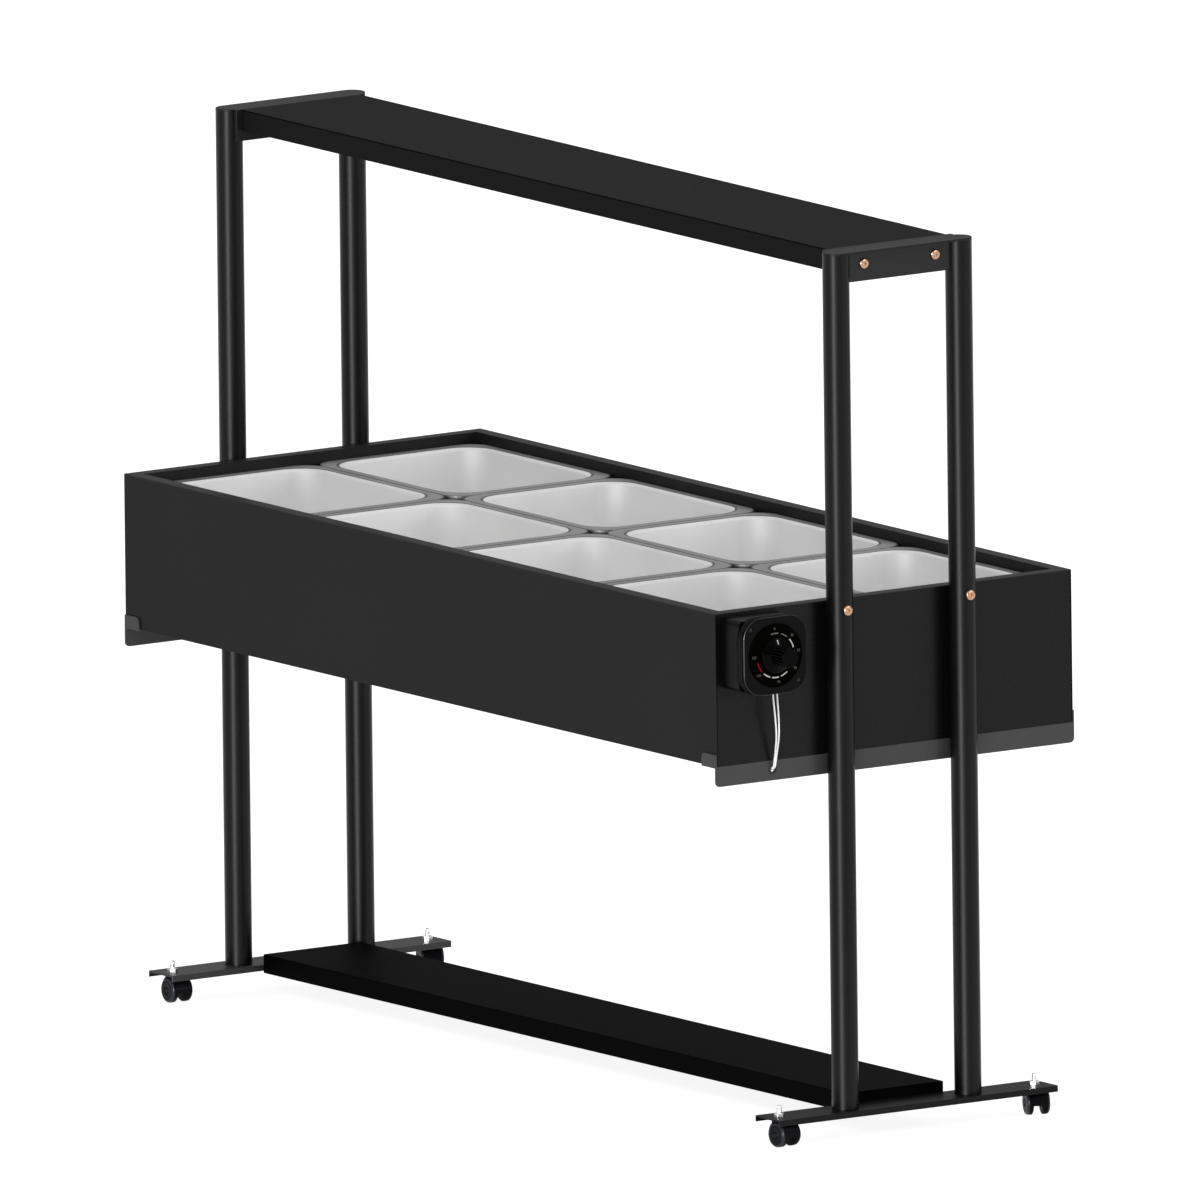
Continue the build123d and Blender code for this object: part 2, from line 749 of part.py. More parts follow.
def cover_screws():
    seat = cover_front - cover_screw_sink - cover_screw_head_height
    screws = []
    for y, z in cover_screw_places():
        head = rod_x(seat, seat + cover_screw_head_height, y, z, cover_screw_head)
        head = fillet(head.edges().sort_by(Axis.X)[-1], cover_screw_head_height / 2)
        tip = seat + cover_screw_head_height
        for width, height in ((3.4, 0.9), (0.9, 3.4)):
            head -= block(tip - 1.2, tip + 1, y - width / 2, y + width / 2, z - height / 2, z + height / 2)
        shank = rod_x(seat - cover_screw_length, seat, y, z, cover_screw_diameter)
        screws.append(head + shank)
    return screws


def thermostat_switch():
    plate_front = cover_front - cover_wall
    plate_back = plate_front - switch_plate_sheet
    plate = plate_x(plate_back, plate_front, thermostat_y, thermostat_z,
                    Rectangle(switch_plate_width, switch_plate_height))
    body = rod_x(plate_back - switch_length, plate_back, thermostat_y, thermostat_z, switch_diameter)
    solid = plate + body
    return solid - rod_x(plate_front - spindle_insert - spindle_gap, plate_front + 1, thermostat_y, thermostat_z,
                         spindle_diameter + 2 * spindle_gap)


def dial_spindle():
    plate_front = cover_front - cover_wall
    return rod_x(plate_front - spindle_insert, knob_back + knob_socket, thermostat_y, thermostat_z,
                 spindle_diameter)


def control_knob():
    axis_place = Pos(knob_back, thermostat_y, thermostat_z) * Rot(0, 90, 0)
    skirt = Pos(0, 0, knob_skirt_height / 2) * Cylinder(knob_skirt_diameter / 2, knob_skirt_height)
    cone = Pos(0, 0, knob_skirt_height + knob_cone_height / 2) * Cone(
        knob_skirt_diameter / 2, knob_barrel_diameter / 2, knob_cone_height)
    barrel = Pos(0, 0, knob_height / 2) * Cylinder(knob_barrel_diameter / 2, knob_height)
    barrel = fillet(barrel.faces().sort_by(Axis.Z)[-1].edges(), 1.0)
    knob = skirt + cone + barrel
    low = knob_skirt_height + knob_cone_height
    for index in range(knob_ribs):
        groove = Pos(knob_barrel_diameter / 2, 0, (low + knob_height) / 2 + 1) * Cylinder(
            knob_rib_depth, knob_height - low)
        knob -= Rot(0, 0, index * 360 / knob_ribs) * groove
    knob -= Pos(0, 0, knob_socket / 2) * Cylinder(spindle_diameter / 2, knob_socket)
    return axis_place * knob


def terminal_block():
    floor_z = thermostat_z - box_height / 2 + box_sheet
    x = sum(exit[0] for exit in lead_exits()) / 2
    y = sum(exit[1] for exit in lead_exits()) / 2
    low = floor_z + 2 + lead_pair_gap
    return block(x - terminal_width / 2, x + terminal_width / 2, y - terminal_length / 2,
                 y + terminal_length / 2, low, low + terminal_height)


# White leads from the box to the heating element

def lead_exits():
    """x and y where the front and the rear lead leave the box's underside."""
    return ((half_length + lead_exit_x, front_lead_y), (half_length + lead_exit_x, rear_lead_y))


def hanging_lead(start_y, hole_y, middle_y):
    """From the terminal block through the flange's grommet to the corner under the second grommet."""
    top = thermostat_z - box_height / 2 + box_sheet + 2
    run_z = wire_hole_z - 1.0
    drop = top - run_z
    out = half_length + lead_exit_x
    return [(out, start_y, top),
            (out + 0.6, start_y + 0.4, run_z + 0.845 * drop),
            (out + 2.6, middle_y, run_z + 0.61 * drop),
            (out - 1.2, (middle_y + hole_y) / 2, run_z + 0.39 * drop),
            (half_length + 9.2, hole_y - 1.4, run_z + 0.145 * drop),
            (half_length + 2.8, hole_y, run_z),
            (wire_entry_x, hole_y, run_z)]


def lead_routes():
    """The two leads hang in a shallow bow, go in through the flange and up into the end of the casing."""
    side = (lead_diameter + lead_pair_gap) / 2
    near_x = well_x + well_sheet + element_tail_length + lead_diameter / 2 + lead_end_gap
    over_z = element_z + element_diameter + 2
    front = hanging_lead(front_lead_y, wire_hole_y - side, front_lead_y + 2.4)
    front += [(wire_entry_x, wire_hole_y - side, over_z - 15),
              (near_x, wire_hole_y + 20, over_z),
              (near_x, element_tail_y - 22, over_z),
              (near_x, element_tail_y + 2, element_z)]
    rear = hanging_lead(rear_lead_y, wire_hole_y + side, rear_lead_y + 1.6)
    rear += [(wire_entry_x, wire_hole_y + side, element_z - 21),
             (near_x, wire_hole_y + 18, element_z),
             (near_x, 4 - element_tail_y, element_z)]
    return front, rear


def white_leads():
    leads = []
    for points in lead_routes():
        radii = corner_radii(points, lead_bend_share)
        solid, length = tube(points, radii, lead_diameter)
        volume = math.pi * (lead_diameter / 2) ** 2 * length
        print("lead length", round(length, 1), "radii", [round(radius, 1) for radius in radii],
              "volume over section times length", round(solid.volume / volume, 4))
        leads.append(solid)
    return leads


# Casters, drawn about the stem's axis with the wheels trailing towards +X

def caster_stem():
    stud = rod_z(0, 0, web_bottom, base_bar_top + stud_length, stud_diameter)
    stud = chamfer(stud.edges().sort_by(Axis.Z)[-1], 1.0)
    collar = rod_z(0, 0, web_bottom - stem_collar_height, web_bottom, stem_collar_diameter)
    pin = rod_z(0, 0, web_bottom - stem_depth, web_bottom - stem_collar_height, stem_diameter)
    return stud + collar + pin


def caster_nut():
    outline = RegularPolygon(caster_nut_flats / 2, 6, major_radius=False)
    nut = Pos(0, 0, base_bar_top) * extrude(outline, amount=caster_nut_height)
    nut &= rod_z(0, 0, base_bar_top, base_bar_top + caster_nut_height, caster_nut_flats * 1.12)
    return nut - rod_z(0, 0, base_bar_top - 1, base_bar_top + caster_nut_height + 1, stud_diameter + 0.1)


def caster_hood():
    axle_x = caster_trail
    arch_outer = wheel_diameter + 2 * hood_gap + 2 * hood_sheet
    arch_inner = wheel_diameter + 2 * hood_gap
    top = web_bottom - stem_collar_height - stem_bearing_gap
    half = hood_width / 2
    arch = rod_y(axle_x, -half, half, wheel_radius, arch_outer)
    arch += block(-shoulder_reach, axle_x, -shoulder_width / 2, shoulder_width / 2, wheel_radius, top)
    arch -= rod_y(axle_x, -half - 1, half + 1, wheel_radius, arch_inner)
    core = rod_y(axle_x, -hood_core / 2, hood_core / 2, wheel_radius, arch_outer)
    solid = arch + core
    low = wheel_radius - hood_skirt_drop
    solid -= block(axle_x - arch_outer, axle_x + arch_outer, -half - 1, half + 1, wheel_radius - arch_outer, low)
    solid += rod_y(axle_x, -hood_core / 2, hood_core / 2, wheel_radius, 3 * axle_diameter)
    solid += rod_z(0, 0, low, top, stem_neck_diameter)
    collar_low = wheel_radius + wheel_radius + hood_gap + hood_sheet / 2
    solid += rod_z(0, 0, collar_low, top, stem_boss_diameter)
    bore = stem_diameter + 2 * stem_gap
    solid -= rod_z(0, 0, web_bottom - stem_depth - stem_bearing_gap, top + 1, bore)
    return solid - rod_y(axle_x, -half, half, wheel_radius, axle_diameter + 2 * axle_gap)


def caster_wheelset():
    """Both wheels and the axle that is pressed into them."""
    axle_x = caster_trail
    inner = wheel_spacing / 2
    outer = inner + wheel_width
    pieces = [rod_y(axle_x, 1 - outer, outer - 1, wheel_radius, axle_diameter)]
    for y0, y1, face in ((-outer, -inner, -outer), (inner, outer, outer)):
        wheel = rod_y(axle_x, y0, y1, wheel_radius, wheel_diameter)
        rims = wheel.edges().filter_by(GeomType.CIRCLE)
        outside = rims.sort_by(Axis.Y)[0] if face < 0 else rims.sort_by(Axis.Y)[-1]
        inside = rims.sort_by(Axis.Y)[-1] if face < 0 else rims.sort_by(Axis.Y)[0]
        wheel = fillet(outside, wheel_shoulder)
        wheel = chamfer([edge for edge in wheel.edges().filter_by(GeomType.CIRCLE)
                         if abs(edge.center().Y - inside.center().Y) < 0.01], wheel_groove)
        groove = rod_y(axle_x, face - wheel_groove, face + wheel_groove, wheel_radius, 2 * wheel_face_radius + 1)
        groove -= rod_y(axle_x, face - 1, face + 1, wheel_radius, 2 * wheel_face_radius)
        wheel -= groove
        wheel -= rod_y(axle_x, 1 - outer, outer - 1, wheel_radius, axle_diameter)
        pieces.append(wheel)
    return pieces


def caster_places():
    """x, y and turn of each caster, by the name of its corner."""
    return {"front_left": (-post_x, -caster_y, front_left_turn),
            "rear_left": (-post_x, caster_y, rear_left_turn),
            "front_right": (post_x, -caster_y, front_right_turn),
            "rear_right": (post_x, caster_y, rear_right_turn)}


def at_caster(place, solid):
    x, y, turn = place
    return Pos(x, y, 0) * Rot(0, 0, -turn) * solid


def build():
    save("front_panel", long_panel(-half_depth, -inner_y))
    save("rear_panel", long_panel(inner_y, half_depth))
    save("left_end_panel", mirrored(end_panel(), -1))
    save("right_end_panel", right_end_panel())
    save("bottom_panel", bottom_panel())
    save("top_rim", top_rim())
    save("well_liner", well_liner())
    save("insulation_blanket", insulation_blanket())
    save("pan_long_rail", *pan_long_rails())
    save("pan_cross_rails", *pan_cross_rails())
    one_pan = pan()
    for row, row_name in enumerate(("front", "rear")):
        for column in range(pan_columns):
            save(f"{row_name}_pan_{column + 1}", pan_place(column, row) * one_pan)
    save("heating_element", heating_element())
    save("element_supports", *element_supports())
    save("sensor_probe", sensor_probe())
    for end, side in (("left", -1), ("right", 1)):
        for row_name, front in (("front", -1), ("rear", 1)):
            save(f"{row_name}_{end}_post", post(side, front))
        save(f"{end}_base_bar", base_bar(side))
        save(f"{end}_cap", end_cap(side))
        save(f"{end}_crossbar", crossbar(side))
        save(f"{end}_shelf_bar", shelf_bar(side))
        save(f"{end}_bracket", bracket(side))
    save("top_shelf", *top_shelf())
    save("lower_shelf", *lower_shelf())
    save("foot_screws", *[foot_screw(side, front) for side in (-1, 1) for front in (-1, 1)])
    save("brass_screws", *[brass_screw(seat, y, z, side) for side in (-1, 1)
                           for seat, nut_seat, y, z in screw_places()])
    save("screw_nuts", *[brass_nut(nut_seat, y, z, side) for side in (-1, 1)
                         for seat, nut_seat, y, z in screw_places()])
    save("thermostat_box", thermostat_box())
    save("thermostat_cover", thermostat_cover())
    save("dial_plate", dial_plate())
    save("cover_screws", *cover_screws())
    save("thermostat_switch", thermostat_switch())
    save("terminal_block", terminal_block())
    save("dial_spindle", dial_spindle())
    save("control_knob", control_knob())
    save("lead_grommets", *lead_grommets())
    save("white_leads", *white_leads())
    places = caster_places()
    save("caster_stems", *[at_caster(place, caster_stem()) for place in places.values()])
    save("caster_nuts", *[at_caster(place, caster_nut()) for place in places.values()])
    for name, place in places.items():
        save(f"{name}_hood", at_caster(place, caster_hood()))
        save(f"{name}_wheels", *[at_caster(place, piece) for piece in caster_wheelset()])


build()
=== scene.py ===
import bpy
import bmesh
import math
from mathutils import Matrix, Vector


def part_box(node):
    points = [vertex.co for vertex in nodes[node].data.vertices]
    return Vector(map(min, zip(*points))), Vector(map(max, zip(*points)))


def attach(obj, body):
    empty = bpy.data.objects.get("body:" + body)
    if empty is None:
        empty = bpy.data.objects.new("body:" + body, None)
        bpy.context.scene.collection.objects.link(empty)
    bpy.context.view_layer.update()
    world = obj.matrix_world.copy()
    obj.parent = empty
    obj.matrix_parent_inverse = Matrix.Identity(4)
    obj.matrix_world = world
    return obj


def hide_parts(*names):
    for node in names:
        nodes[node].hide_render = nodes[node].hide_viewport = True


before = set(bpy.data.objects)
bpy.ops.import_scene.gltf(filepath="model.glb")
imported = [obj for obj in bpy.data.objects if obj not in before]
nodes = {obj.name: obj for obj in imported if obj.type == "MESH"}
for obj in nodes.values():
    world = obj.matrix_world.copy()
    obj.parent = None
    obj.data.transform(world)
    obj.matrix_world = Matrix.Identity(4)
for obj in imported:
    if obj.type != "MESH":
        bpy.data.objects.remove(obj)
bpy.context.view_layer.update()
print("frame loaded:", len(nodes), "nodes")


# camera, set to the photograph's parallel view

photoView = {
    "azimuth": 55.85,       # degrees from the front towards the thermostat's end
    "elevation": 9.79,
    "roll": -0.658,
    "width": 1.671,         # metres across the picture
    "aim": (0.61445, -0.4303, 0.7782),
    "distance": 6.0,
    "clipEnd": 60,
}


def outwards(azimuth, elevation=0.0):
    turn, rise = math.radians(azimuth), math.radians(elevation)
    return Vector((math.sin(turn) * math.cos(rise), -math.cos(turn) * math.cos(rise), math.sin(rise)))


def makeCamera(view):
    azimuth = math.radians(view["azimuth"])
    back = outwards(view["azimuth"], view["elevation"])
    level = Vector((math.cos(azimuth), math.sin(azimuth), 0))
    right = Matrix.Rotation(math.radians(view["roll"]), 3, back) @ level
    up = back.cross(right)
    data = bpy.data.cameras.new("photoCamera")
    data.type = "ORTHO"
    data.ortho_scale = view["width"]
    data.clip_end = view["clipEnd"]
    camera = bpy.data.objects.new("photoCamera", data)
    bpy.context.scene.collection.objects.link(camera)
    place = Vector(view["aim"]) + back * view["distance"]
    rotation = Matrix((right, up, back)).transposed()
    camera.matrix_world = Matrix.Translation(place) @ rotation.to_4x4()
    bpy.context.scene.camera = camera


makeCamera(photoView)
print("camera placed")


# material helpers

noiseRange = (0.3, 0.7)     # what a noise's values mostly lie between


def newMaterial(name, color, roughness, metallic=0.0, specular=0.5):
    material = bpy.data.materials.new(name)
    material.use_nodes = True
    tree = material.node_tree
    shader = tree.nodes["Principled BSDF"]
    shader.inputs["Base Color"].default_value = (*color, 1)
    shader.inputs["Roughness"].default_value = roughness
    shader.inputs["Metallic"].default_value = metallic
    shader.inputs["Specular IOR Level"].default_value = specular
    return material, tree, shader


def addNode(tree, kind, inputs=None, **settings):
    node = tree.nodes.new(kind)
    for key, value in settings.items():
        setattr(node, key, value)
    for key, value in (inputs or {}).items():
        if hasattr(value, "is_output"):
            tree.links.new(value, node.inputs[key])
        else:
            node.inputs[key].default_value = value
    return node


def grain(tree, scale, detail, stretch=(1, 1, 1), contrast=0.5):
    points = addNode(tree, "ShaderNodeTexCoord").outputs["Object"]
    stretched = addNode(tree, "ShaderNodeMapping", {"Vector": points, "Scale": stretch}).outputs[0]
    noise = addNode(tree, "ShaderNodeTexNoise", {"Vector": stretched, "Scale": scale, "Detail": detail,
                                                 "Roughness": contrast})
    return noise.outputs["Fac"]


def spread(tree, value, low, high):
    ranged = addNode(tree, "ShaderNodeMapRange", {
        "Value": value, "From Min": noiseRange[0], "From Max": noiseRange[1], "To Min": low, "To Max": high})
    return ranged.outputs[0]


def tinted(tree, value, dark, light):
    # inputs 0, 6 and 7 of a colour mix are its factor and two colours, and output 2 is its colour
    mix = addNode(tree, "ShaderNodeMix", data_type="RGBA")
    tree.links.new(value, mix.inputs[0])
    mix.inputs[6].default_value = (*dark, 1)
    mix.inputs[7].default_value = (*light, 1)
    return mix.outputs[2]


def scaled(color, factor):
    return tuple(min(1.0, channel * factor) for channel in color)


# surfaces: a slow change of tone, and a fine grain that moves the roughness and the normal

surfaceKinds = {
    # tone and grain are a noise's scale and detail, shades multiply the colour and gloss adds to the
    # roughness, least and most, bump is a strength and a height, and edge a softened edge's radius
    "coat": {"tone": (3.0, 3.0), "grain": (900.0, 2.0), "contrast": 0.5, "shades": (0.9, 1.12),
             "gloss": (-0.05, 0.05), "bump": (0.18, 0.00015), "edge": 0.0006},
    "steel": {"tone": (5.0, 2.0), "grain": (12.0, 4.0), "contrast": 0.7, "shades": (0.95, 1.05),
              "gloss": (-0.07, 0.09), "bump": (0.10, 0.0003), "edge": None},
    "plated": {"tone": (260.0, 3.0), "grain": (260.0, 3.0), "contrast": 0.5, "shades": (0.88, 1.06),
               "gloss": (-0.05, 0.08), "bump": (0.1, 0.0001), "edge": 0.0003},
    "plastic": {"tone": (30.0, 2.0), "grain": (1400.0, 1.0), "contrast": 0.5, "shades": (0.9, 1.1),
                "gloss": (-0.05, 0.05), "bump": (0.2, 0.0001), "edge": 0.0004},
}
edgeSamples = 4


def makeSurface(name, kind, color, roughness, metallic=0.0, specular=0.5, stretch=(1, 1, 1), grainScale=None):
    look = surfaceKinds[kind]
    material, tree, shader = newMaterial(name, color, roughness, metallic, specular)
    scale, detail = look["grain"]
    fine = grain(tree, grainScale or scale, detail, stretch, look["contrast"])
    tone = spread(tree, grain(tree, *look["tone"]), 0.0, 1.0)
    dark, light = (scaled(color, shade) for shade in look["shades"])
    tree.links.new(tinted(tree, tone, dark, light), shader.inputs["Base Color"])
    least, most = (roughness + shift for shift in look["gloss"])
    tree.links.new(spread(tree, fine, least, most), shader.inputs["Roughness"])
    strength, height = look["bump"]
    relief = addNode(tree, "ShaderNodeBump", {"Height": fine, "Strength": strength, "Distance": height})
    if look["edge"]:
        rounded = addNode(tree, "ShaderNodeBevel", {"Radius": look["edge"]}, samples=edgeSamples)
        tree.links.new(rounded.outputs[0], relief.inputs["Normal"])
    tree.links.new(relief.outputs[0], shader.inputs["Normal"])
    return material


finishLooks = {
    "coat": {
        # one black powder coat, copied part by part: the copies' colours differ as painted light and shade,
        # lighter where a part meets more light (the front panels over the end panels, the left base bar over
        # the right one, the rim, caps and crossbars) and darkest for the lower shelf in the shade under the
        # trough
        "frontCoat": {"color": (0.005, 0.005, 0.0051), "roughness": 0.42, "specular": 0.085},
        "endCoat": {"color": (0.0033, 0.0033, 0.0034), "roughness": 0.27, "specular": 0.128},
        "rimCoat": {"color": (0.0105, 0.0107, 0.0107), "roughness": 0.42, "specular": 0.1},
        "postCoat": {"color": (0.0024, 0.0024, 0.0025), "roughness": 0.32, "specular": 0.14},
        "capCoat": {"color": (0.0105, 0.0105, 0.0108), "roughness": 0.4, "specular": 0.1},
        # painted light: the left base bar is lighter than its twin on the right
        "leftBarLitCoat": {"color": (0.023, 0.023, 0.0235), "roughness": 0.42, "specular": 0.2},
        "rightBarCoat": {"color": (0.0055, 0.0055, 0.0056), "roughness": 0.42, "specular": 0.08},
        "topShelfCoat": {"color": (0.007, 0.007, 0.0072), "roughness": 0.5, "specular": 0.02},
        # painted shade: the lower shelf, darkened for the shade under the trough
        "lowShelfShadedCoat": {"color": (0.001, 0.001, 0.001), "roughness": 0.55, "specular": 0.01},
        "crossCoat": {"color": (0.011, 0.011, 0.0113), "roughness": 0.42, "specular": 0.18},
        "bracketCoat": {"color": (0.046, 0.046, 0.0467), "roughness": 0.5, "specular": 0.15},
        "boxCoat": {"color": (0.0022, 0.0022, 0.0023), "roughness": 0.35, "specular": 0.06},
    },
    "steel": {  # stretch lays the grain along one direction
        "panSteel": {"color": (0.74, 0.74, 0.738), "roughness": 0.62, "metallic": 0.1, "specular": 0.2,
                     "stretch": (70, 70, 1.2)},
        "rimSteel": {"color": (0.30, 0.30, 0.298), "roughness": 0.5, "metallic": 0.6, "stretch": (4, 90, 90)},
        # painted reflection: a dark steel for the dark reflected in the pans' outer lips and mouth beads
        "paintedDarkReflectionSteel": {"color": (0.10, 0.10, 0.099), "roughness": 0.5, "metallic": 0.6,
                      "stretch": (70, 70, 1.2)},
        "wellSteel": {"color": (0.45, 0.45, 0.44), "roughness": 0.4, "metallic": 1.0, "stretch": (2, 60, 60)},
        # painted shade: the rails are stainless, made near black for the shade seen through the gaps at the
        # pans' corners
        "railSteelPaintedShade": {"color": (0.012, 0.012, 0.012), "roughness": 0.4, "metallic": 1.0,
                      "stretch": (2, 40, 40)},
        "elementSteel": {"color": (0.20, 0.20, 0.19), "roughness": 0.45, "metallic": 1.0,
                         "stretch": (8, 8, 8)},
    },
    "plated": {
        "zincPlate": {"color": (0.88, 0.89, 0.90), "roughness": 0.28, "metallic": 1.0},
        "brassPlate": {"color": (0.46, 0.28, 0.18), "roughness": 0.16, "metallic": 1.0},
        "blackScrew": {"color": (0.03, 0.03, 0.03), "roughness": 0.2, "metallic": 1.0},
    },
    "plastic": {
        "coverPlastic": {"color": (0.0015, 0.0015, 0.0016), "roughness": 0.30, "specular": 0.05},
        "coverSide": {"color": (0.0016, 0.0016, 0.0017), "roughness": 0.4, "specular": 0.03},
        # painted highlight: a light grey for light caught on the cover's rib crests and front edge, and on
        # the knob's ribs and barrel end
        "paintedHighlightPlastic": {"color": (0.022, 0.022, 0.0225), "roughness": 0.35, "specular": 0.25},
        "knobPlastic": {"color": (0.0005, 0.0005, 0.00055), "roughness": 0.18, "specular": 0.04},
        "dialPaint": {"color": (0.0010, 0.0009, 0.0006), "roughness": 0.5, "specular": 0.004,
                      "grainScale": 2200.0},
        "printWhite": {"color": (0.46, 0.46, 0.41), "roughness": 0.6, "specular": 0.2},
        "printDim": {"color": (0.11, 0.11, 0.10), "roughness": 0.6, "specular": 0.1},
        "printFigure": {"color": (0.075, 0.072, 0.058), "roughness": 0.6, "specular": 0.4},
        "printRed": {"color": (0.26, 0.001, 0.006), "roughness": 0.6, "specular": 0.02},
        "pointerWhite": {"color": (0.55, 0.55, 0.55), "roughness": 0.6, "specular": 0.4},
        "leadSleeve": {"color": (0.88, 0.88, 0.87), "roughness": 0.5, "specular": 0.3, "grainScale": 500.0},
        "hoodPlastic": {"color": (0.0020, 0.0019, 0.0028), "roughness": 0.35, "specular": 0.05},
        "discPlastic": {"color": (0.0045, 0.0052, 0.0070), "roughness": 0.4, "specular": 0.07},
        # painted highlight: the tyre's rounded shoulder, lighter all round than its tread
        "shoulderPaintedHighlight": {"color": (0.024, 0.026, 0.034), "roughness": 0.28, "specular": 0.15},
        "treadPlastic": {"color": (0.0018, 0.0018, 0.0025), "roughness": 0.5, "specular": 0.04},
        "grommetRubber": {"color": (0.012, 0.012, 0.012), "roughness": 0.6, "specular": 0.3},
        "switchPlastic": {"color": (0.05, 0.05, 0.05), "roughness": 0.5, "specular": 0.4},
        # dark seam lines at the casing's laps, and the painted shade on the top shelf's bend
        "darkSeamAndPaintedFoldShade": {"color": (0.0012, 0.0012, 0.0012), "roughness": 0.8, "specular": 0.02},
        "mineralWool": {"color": (0.45, 0.40, 0.24), "roughness": 0.95, "specular": 0.1,
                        "grainScale": 300.0},
    },
}
finishes = {name: makeSurface(name, kind, **look) for kind, looks in finishLooks.items()
            for name, look in looks.items()}
print("materials made:", len(finishes))


# finishes of the CAD nodes

nodeFinishes = {
    "frontCoat": ("front_panel", "rear_panel"),
    "endCoat": ("left_end_panel", "right_end_panel", "bottom_panel"),
    "rimCoat": ("top_rim",),
    "topShelfCoat": ("top_shelf",),
    "lowShelfShadedCoat": ("lower_shelf",),
    "leftBarLitCoat": ("left_base_bar",),
    "rightBarCoat": ("right_base_bar",),
    "capCoat": ("left_cap", "right_cap", "left_shelf_bar", "right_shelf_bar"),
    "crossCoat": ("left_crossbar", "right_crossbar"),
    "bracketCoat": ("left_bracket", "right_bracket"),
    "boxCoat": ("thermostat_box",),
    "wellSteel": ("well_liner",),
    "railSteelPaintedShade": ("pan_long_rail", "pan_cross_rails", "element_supports"),
    "elementSteel": ("heating_element", "sensor_probe"),
    "mineralWool": ("insulation_blanket",),
    "brassPlate": ("brass_screws",),
    "zincPlate": ("screw_nuts", "foot_screws", "caster_stems", "caster_nuts", "dial_spindle"),
    "blackScrew": ("cover_screws",),
    "coverPlastic": ("thermostat_cover",),
    "knobPlastic": ("control_knob",),
    "dialPaint": ("dial_plate",),
    "switchPlastic": ("thermostat_switch", "terminal_block"),
    "leadSleeve": ("white_leads",),
    "grommetRubber": ("lead_grommets",),
}
corners = ("front_left", "rear_left", "front_right", "rear_right")
panNames = [f"{row}_pan_{column}" for row in ("front", "rear") for column in (1, 2, 3, 4)]
nodeFinishes["panSteel"] = panNames
nodeFinishes["postCoat"] = [corner + "_post" for corner in corners]
nodeFinishes["hoodPlastic"] = [corner + "_hood" for corner in corners]
nodeFinishes["treadPlastic"] = [corner + "_wheels" for corner in corners]

for finishName, nodeNames in nodeFinishes.items():
    for nodeName in nodeNames:
        mesh = nodes[nodeName].data
        mesh.materials.clear()
        mesh.materials.append(finishes[finishName])
print("CAD nodes dressed:", sum(len(nodeNames) for nodeNames in nodeFinishes.values()))


# making pieces

def newPiece(name, bm, finishNames, bodyName, smooth=True):
    bmesh.ops.recalc_face_normals(bm, faces=bm.faces)
    mesh = bpy.data.meshes.new(name)
    bm.to_mesh(mesh)
    bm.free()
    for finishName in finishNames:
        mesh.materials.append(finishes[finishName])
    for polygon in mesh.polygons:
        polygon.use_smooth = smooth
    piece = bpy.data.objects.new(name, mesh)
    bpy.context.scene.collection.objects.link(piece)
    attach(piece, bodyName)
    return piece


def lowOf(name):
    return Vector(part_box(name)[0])


def highOf(name):
    return Vector(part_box(name)[1])


def middleOf(name):
    return (lowOf(name) + highOf(name)) / 2


def roundedOutline(width, height, corner, steps=12):
    points = []
    for quarter, (sideX, sideY) in enumerate(((1, 1), (-1, 1), (-1, -1), (1, -1))):
        middle = (sideX * (width / 2 - corner), sideY * (height / 2 - corner))
        for step in range(steps + 1):
            angle = math.pi / 2 * (quarter + step / steps)
            points.append((middle[0] + corner * math.cos(angle), middle[1] + corner * math.sin(angle)))
    return points


def closedLoop(bm, points):
    verts = [bm.verts.new(point) for point in points]
    return [bm.edges.new(pair) for pair in zip(verts, verts[1:] + verts[:1])]


def bridgeLoops(bm, loops, inks=None):
    for index, (first, second) in enumerate(zip(loops, loops[1:])):
        for face in bmesh.ops.bridge_loops(bm, edges=first + second)["faces"]:
            face.material_index = inks[index] if inks else 0


def spinProfile(bm, points, centre, axis, angle, steps, **settings):
    verts = [bm.verts.new(point) for point in points]
    edges = [bm.edges.new(pair) for pair in zip(verts, verts[1:])]
    bmesh.ops.spin(bm, geom=verts + edges, cent=centre, axis=axis, angle=angle, steps=steps, **settings)


def raisedPatch(bm, points, lift):
    face = bm.faces.new([bm.verts.new(point) for point in points])
    raised = bmesh.ops.extrude_face_region(bm, geom=[face])
    lifted = [item for item in raised["geom"] if isinstance(item, bmesh.types.BMVert)]
    bmesh.ops.translate(bm, verts=lifted, vec=lift)


# dial print: arcs of the scale and plain numbers, on the dial plate's face

dialPrint = {
    "radius": 0.0312, "width": 0.0018, "thickness": 0.00012,
    "inks": {"white": 0, "dim": 1, "red": 2},
    "arcs": [  # start, end in degrees clockwise from the top, and the ink
        (-14, 9, "dim"), (18, 39, "dim"), (48, 74, "white"), (82, 103, "dim"), (112, 120, "white"),
        (142, 164, "white"), (171, 192, "white"), (198, 220, "white"), (228, 256, "red"),
    ],
    "stepAngle": 3, "fewestSteps": 4,
    "figures": [  # words, degrees clockwise from the top, radius
        ("30", 47, 0.038), ("50", 85, 0.0385), ("70", 123, 0.039), ("90", 173, 0.038), ("110", 228, 0.039),
        ("120", 270, 0.0365), ("0", -2, 0.0375),
    ],
    "figureSize": 0.0052, "figureRounds": 3,
}
dialMiddle, dialHigh = middleOf("dial_plate"), highOf("dial_plate")


def dialPoint(x, radius, clockwise):
    angle = math.radians(clockwise)
    return Vector((x, dialMiddle.y + radius * math.sin(angle), dialMiddle.z + radius * math.cos(angle)))


def addArc(bm, look, start, end, ink):
    near = look["radius"] - look["width"] / 2
    far = look["radius"] + look["width"] / 2
    back = dialHigh.x
    front = back + look["thickness"]
    face = bm.faces.new([bm.verts.new(dialPoint(x, radius, start)) for x, radius in
                         ((back, near), (front, near), (front, far), (back, far))])
    before = set(bm.faces)
    steps = max(look["fewestSteps"], int((end - start) / look["stepAngle"]))
    bmesh.ops.spin(bm, geom=[face, *face.edges, *face.verts], cent=dialMiddle, axis=(-1, 0, 0),
                   angle=math.radians(end - start), steps=steps)
    for made in set(bm.faces) - before:
        made.material_index = ink
    if face.is_valid:
        face.material_index = ink


